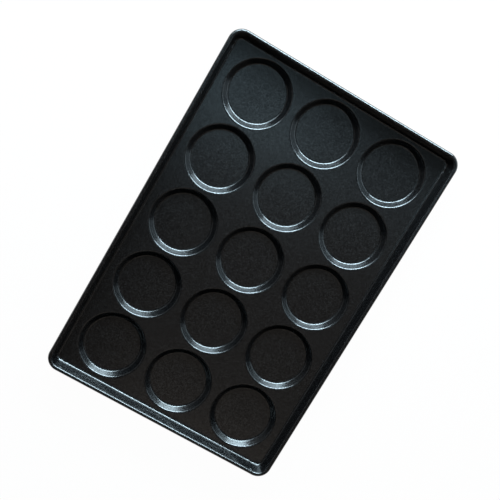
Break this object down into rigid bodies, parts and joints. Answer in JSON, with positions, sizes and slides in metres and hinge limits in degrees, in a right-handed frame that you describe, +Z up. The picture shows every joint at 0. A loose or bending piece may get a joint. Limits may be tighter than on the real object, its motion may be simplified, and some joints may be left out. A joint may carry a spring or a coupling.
{
  "type": "hamburger bun pan",
  "caption": "Rectangular baking tray pressed from non-stick coated sheet steel, with a grid of shallow round cups for shaping hamburger buns and a rim curled round a stiffening wire.",
  "frame": {"origin": "centre of the pan's footprint, on the plane of the cups' undersides, which the pan rests on", "axes": "+X along the long side, +Y along the short side, +Z up out of the open tray"},
  "size_m": [0.6, 0.4, 0.0328],
  "materials": {
    "coated_sheet": "semi-gloss black non-stick coating on pressed steel sheet",
    "wire_steel": "drawn steel wire"
  },
  "bodies": {
    "root": {"pan_sheet": "coated_sheet", "rim_wire": "wire_steel"}
  },
  "joints": []
}
